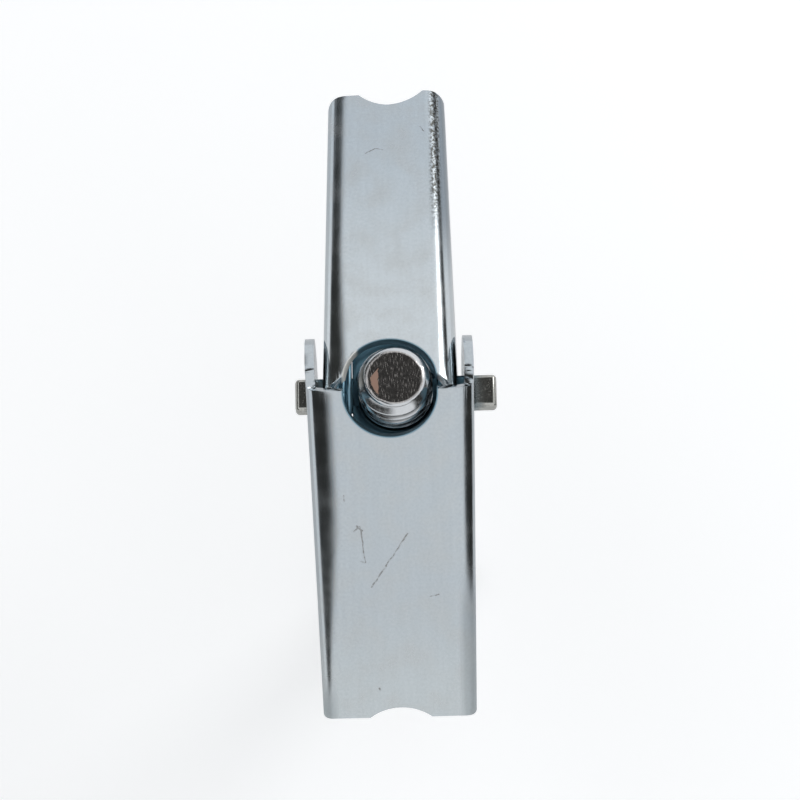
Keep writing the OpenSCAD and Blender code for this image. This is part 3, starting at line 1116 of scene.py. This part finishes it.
def soot_grains(plating, spec, along):
    """A painted dark reflection in a line along the right bend, broken into grains, on the
    upper face only.
    """
    from_line = plating.math("ABSOLUTE", plating.minus(plating.axis("X"), DARK_REFLECTION_X))
    return plating.times(
        plating.step(along, *spec["soot"]), plating.fall(from_line, 0.2, 0.65),
        plating.step(plating.axis("Z"), WEB_UNDERSIDE + 0.1, WEB_UNDERSIDE + 0.3),
        plating.step(plating.noise(0.2, 5.0), 0.4, 0.62, 1.0, 0.25))


def dull_bend(plating, spec, along):
    """The outer part of the right bend, above the flange, which gets painted shade."""
    bend = plating.times(plating.step(plating.axis("X"), 4.2, 4.4),
                         plating.step(plating.axis("Z"), 2.4, 3.2))
    return plating.times(plating.step(along, *spec["dull"]), bend)


# Where the painted shade on the right bend starts
print("the dull bend starts", INNER["dull"][0], "mm from the hinge")

# %% [markdown]
# The finish of a wing is put together from those parts. The tones come first, then the
# painted highlight and painted shade of the cut face, the painted dark reflection and painted
# shade on the bend, and the scratches over them. The roughness rises at the cut face, at the
# matt ends and in the scratches, which all scatter light.

# %% Plate the wings
MARK_TONE = (0.26, 0.25, 0.24)
# How strongly the painted shade darkens the bend
PAINTED_SHADE_SHARE = 0.75
MATT_ROUGHNESS = 0.45
MARK_ROUGHNESS = 0.3


def wing_colour(plating, spec, along, blotches, cut_face, pale, marks):
    colour = sheet_tone(plating, spec, along, blotches)
    # Painted highlight on one side of the cut face, painted shade with a blue reflection on
    # the other
    colour = plating.mix(cut_face, colour, plating.mix(pale, CUT_PAINTED_BLUE_SHADE, CUT_PAINTED_HIGHLIGHT))
    # Painted dark reflection, broken into grains, along the right bend
    if "soot" in spec:
        colour = plating.mix(soot_grains(plating, spec, along), colour, DARK_REFLECTION_TONE)
    # Painted shade on the outer part of the right bend
    if "dull" in spec:
        share = plating.times(dull_bend(plating, spec, along), PAINTED_SHADE_SHARE)
        colour = plating.mix(share, colour, PAINTED_SHADE_TONE)
    return plating.mix(marks, colour, MARK_TONE)


def wing_roughness(plating, spec, along, blotches, cut_face, pale, marks):
    rough = plating.step(along, 0.0, WING_LENGTH, 0.15, 0.24)
    rough = plating.plus(rough, plating.times(cut_face, plating.step(
        pale, 0.0, 1.0, 0.25, 0.5)))
    for side, low, high in spec["matt_end"]:
        flange = plating.step(plating.times(plating.axis("X"), float(side)), 4.8, 5.5)
        matt = plating.times(plating.step(along, low, high), flange)
        rough = plating.plus(rough, plating.times(matt, MATT_ROUGHNESS))
    return plating.plus(rough, plating.step(blotches, 0.3, 0.8, -0.03, 0.06),
                        plating.times(marks, MARK_ROUGHNESS))


def plate_wing(piece, name, spec, direction, scratches):
    turn = direction * math.radians(spec["angle"])
    hinge = Matrix.Rotation(turn, 3, "X") @ Vector((SIDE_PLAY, 0, HINGE_Z))
    plating = Plating(name, turn, tuple(-hinge))
    along = plating.times(plating.axis("Y"), float(direction))
    marks = scratch_marks(plating, direction, scratches)
    parts = (along, plating.noise(2.2, 4.0), notch_cut_face(plating, spec, direction),
             plating.step(plating.axis("X"), *spec["pale_edge"]), marks)
    colour = wing_colour(plating, spec, *parts)
    rough = wing_roughness(plating, spec, *parts)
    height = plating.minus(plating.noise(0.11, 3.0), marks)
    paint(piece, plating.finish(colour, rough, height, 0.003))


plate_wing(outer_wing, "wing_zinc_outer", OUTER, -1, OUTER_SCRATCHES)
plate_wing(inner_wing, "wing_zinc_inner", INNER, 1, INNER_SCRATCHES)
print("wings plated")

# %% Plate the spring
# Blue zinc on the wire, painted dark as painted shade where it lies between the wings
SHADED_BLUE_WIRE = (0.17, 0.31, 0.40), (0.26, 0.42, 0.50)

plating = Plating("spring_wire_plating")
grain = plating.noise(0.12)
shaded_wire = plating.mix(grain, *SHADED_BLUE_WIRE)
wire = plating.finish(shaded_wire, plating.step(grain, 0.3, 0.8, 0.36, 0.5), grain, 0.002)
for piece in (outer_spring, inner_spring):
    paint(piece, wire)
print(len(bpy.data.materials), "materials")

# %% [markdown]
# ## Studio
#
# The bolt stands on a white sheet. A soft lamp hangs behind on the right. The world is a
# white studio that is dark straight overhead, where the camera is, and low on the left and
# on the right in front: polished metal needs something dark to mirror, or its bends don't
# show. What the camera sees directly is plain white.

# %% The white sheet
FLOOR_SIZE = 160.0
FLOOR_X = -40.0
FLOOR_Z = -HEAD_H - 0.02
FLOOR_TONE = (0.92, 0.92, 0.92, 1)
FLOOR_GLOW = (0.33, 0.33, 0.33, 1)

sheet_bm = bmesh.new()
bmesh.ops.create_grid(sheet_bm, x_segments=1, y_segments=1, size=FLOOR_SIZE)
bmesh.ops.translate(sheet_bm, vec=(FLOOR_X, 0, FLOOR_Z), verts=sheet_bm.verts)
bmesh.ops.scale(sheet_bm, vec=(MM, MM, MM), verts=sheet_bm.verts)
sheet_mesh = bpy.data.meshes.new("white_sheet")
sheet_bm.to_mesh(sheet_mesh)
sheet_bm.free()
white_sheet = bpy.data.objects.new("white_sheet", sheet_mesh)
bpy.context.scene.collection.objects.link(white_sheet)
white = bpy.data.materials.new("white_sheet")
nodes, links = nodes_of(white)
nodes["Principled BSDF"].inputs["Base Color"].default_value = FLOOR_TONE
nodes["Principled BSDF"].inputs["Roughness"].default_value = 1.0
nodes["Principled BSDF"].inputs["Specular IOR Level"].default_value = 0.0
path = nodes.new("ShaderNodeLightPath")
glow = nodes.new("ShaderNodeEmission")
links.new(path.outputs["Is Camera Ray"], glow.inputs["Strength"])
glow.inputs["Color"].default_value = FLOOR_GLOW
add = nodes.new("ShaderNodeAddShader")
links.new(nodes["Principled BSDF"].outputs["BSDF"], add.inputs[0])
links.new(glow.outputs["Emission"], add.inputs[1])
links.new(add.outputs["Shader"], nodes["Material Output"].inputs["Surface"])
paint(white_sheet, white)
print("sheet at", FLOOR_Z, "mm")

# %% The studio round the bolt
STUDIO_LIGHT = (0.88, 0.9, 0.92, 1)
STUDIO_DARK = (0.03, 0.03, 0.028, 1)
OVERHEAD = (0, 0.317, 0.948)
OVERHEAD_EDGE = math.cos(math.radians(21))
OVERHEAD_CORE = math.cos(math.radians(13))

world = bpy.data.worlds.new("studio")
bpy.context.scene.world = world
world.use_nodes = True
nodes, links = world.node_tree.nodes, world.node_tree.links
place = nodes.new("ShaderNodeTexCoord")
split = nodes.new("ShaderNodeSeparateXYZ")
links.new(place.outputs["Generated"], split.inputs["Vector"])


def ramp(value, low, high, to_low=0.0, to_high=1.0):
    """A soft step of a value between two limits."""
    node = nodes.new("ShaderNodeMapRange")
    node.interpolation_type = "SMOOTHSTEP"
    for key, number in (("From Min", low), ("From Max", high), ("To Min", to_low),
                        ("To Max", to_high)):
        node.inputs[key].default_value = number
    links.new(value, node.inputs["Value"])
    return node.outputs["Result"]


def fade(value, low, high):
    """A soft step from 1 down to 0."""
    return ramp(value, low, high, 1.0, 0.0)


def math_node(operation, a, b):
    node = nodes.new("ShaderNodeMath")
    node.operation = operation
    for socket, value in zip(node.inputs, (a, b)):
        if isinstance(value, float):
            socket.default_value = value
        else:
            links.new(value, socket)
    return node.outputs["Value"]


def towards(direction):
    """The cosine of the angle between what is looked at and a direction."""
    node = nodes.new("ShaderNodeVectorMath")
    node.operation = "DOT_PRODUCT"
    links.new(place.outputs["Generated"], node.inputs[0])
    node.inputs[1].default_value = Vector(direction).normalized()
    return node.outputs["Value"]


# The limits below are shares of a unit direction: X to the right, Y to the back, Z up
x, y, z = (split.outputs[k] for k in "XYZ")
overhead = ramp(towards(OVERHEAD), OVERHEAD_EDGE, OVERHEAD_CORE)
low_left = math_node("MULTIPLY", fade(x, -0.42, -0.04), fade(z, 0.58, 0.75))
low_left = math_node("MULTIPLY", low_left, ramp(z, 0.16, 0.26))
low_right = math_node("MULTIPLY", ramp(x, 0.6, 0.72), fade(z, 0.34, 0.46))
low_right = math_node("MULTIPLY", low_right, math_node(
    "MAXIMUM", ramp(z, 0.05, 0.15), fade(y, -0.2, -0.05)))
dark = math_node("MAXIMUM", math_node("MAXIMUM", overhead, low_left), low_right)
tone = nodes.new("ShaderNodeMix")
tone.data_type = "RGBA"
tone.inputs["A"].default_value = STUDIO_LIGHT
tone.inputs["B"].default_value = STUDIO_DARK
links.new(dark, tone.inputs["Factor"])
seen = nodes.new("ShaderNodeMix")
seen.data_type = "RGBA"
path = nodes.new("ShaderNodeLightPath")
links.new(path.outputs["Is Camera Ray"], seen.inputs["Factor"])
links.new(tone.outputs["Result"], seen.inputs["A"])
seen.inputs["B"].default_value = (1, 1, 1, 1)
links.new(seen.outputs["Result"], nodes["Background"].inputs["Color"])
print("studio nodes:", len(nodes))

# %% The soft lamp
LAMP_SIZE = 0.085
LAMP_POWER = 0.11

lamp_data = bpy.data.lights.new("soft_lamp", "AREA")
lamp_data.shape = "RECTANGLE"
lamp_data.size = LAMP_SIZE
lamp_data.size_y = LAMP_SIZE
lamp_data.energy = LAMP_POWER
lamp = bpy.data.objects.new("soft_lamp", lamp_data)
lamp_from = Vector((0.157, 0.143, 0.167))
lamp_turn = lamp_from.to_track_quat("Z", "Y").to_matrix().to_4x4()
lamp_place = Matrix.Translation(lamp_from + Vector((0, 0, HINGE_Z * MM)))
lamp.matrix_world = lamp_place @ lamp_turn
bpy.context.scene.collection.objects.link(lamp)
bpy.context.scene.view_settings.view_transform = "Standard"
print("lamp at", tuple(round(c, 2) for c in lamp_from))
